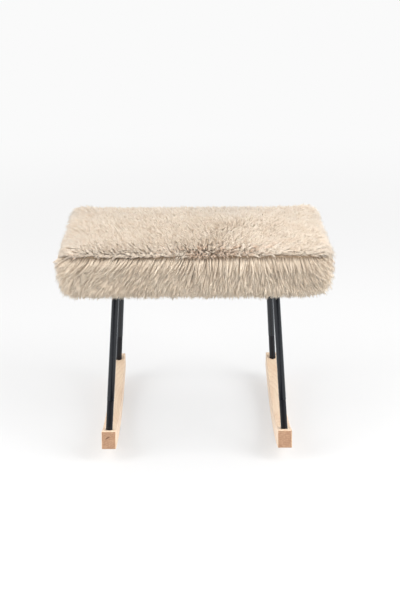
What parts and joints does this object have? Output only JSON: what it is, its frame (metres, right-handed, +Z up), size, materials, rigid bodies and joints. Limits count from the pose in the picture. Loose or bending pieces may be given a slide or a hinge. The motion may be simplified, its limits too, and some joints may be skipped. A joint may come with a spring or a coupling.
{
  "type": "rocking footstool",
  "caption": "Low footstool with a rectangular padded seat covered in long fur, on slim round black legs that stand in two curved beech runners.",
  "frame": {"origin": "on the floor under the middle of the stool, midway between the two runners' contact with the floor", "axes": "+X along the seat's long side, to the right as seen from the front; +Y from front to rear, along the runners; +Z up"},
  "size_m": [0.587, 0.4876, 0.472],
  "materials": {
    "beech": "clear matt lacquer on pale beech",
    "black_gloss": "glossy black powder coat",
    "black_satin": "satin black powder coat",
    "zinc_steel": "bright zinc plate",
    "plywood": "raw birch plywood",
    "foam": "open-cell foam",
    "wadding": "white fibre wadding",
    "fur_short": "short dense cream fur, tufty",
    "fur_long": "long beige fur, combed down in locks",
    "black_cloth": "non-woven black cloth",
    "staple_wire": "galvanised wire"
  },
  "bodies": {
    "root": {"rocker_left": "beech", "rocker_right": "beech", "leg_tube_front_left": "black_gloss", "leg_tube_front_right": "black_gloss", "leg_tube_rear_left": "black_gloss", "leg_tube_rear_right": "black_gloss", "rocker_post_front_left": "black_satin", "rocker_post_front_right": "black_satin", "rocker_post_rear_left": "black_satin", "rocker_post_rear_right": "black_satin", "seat_rail_left": "black_satin", "seat_rail_right": "black_satin", "rail_weld_beads": "black_satin", "leg_threaded_plugs": "zinc_steel", "rocker_bolts": "zinc_steel", "rocker_bolt_washers": "zinc_steel", "rail_bolts": "zinc_steel", "rail_bolt_washers": "zinc_steel", "tee_nuts": "zinc_steel", "seat_board": "plywood", "seat_foam": "foam", "wadding_wrap": "wadding", "cover_top_panel": "fur_short", "cover_side_band": "fur_long", "dust_cover": "black_cloth", "cover_staples": "staple_wire", "dust_cover_staples": "staple_wire"}
  },
  "joints": []
}
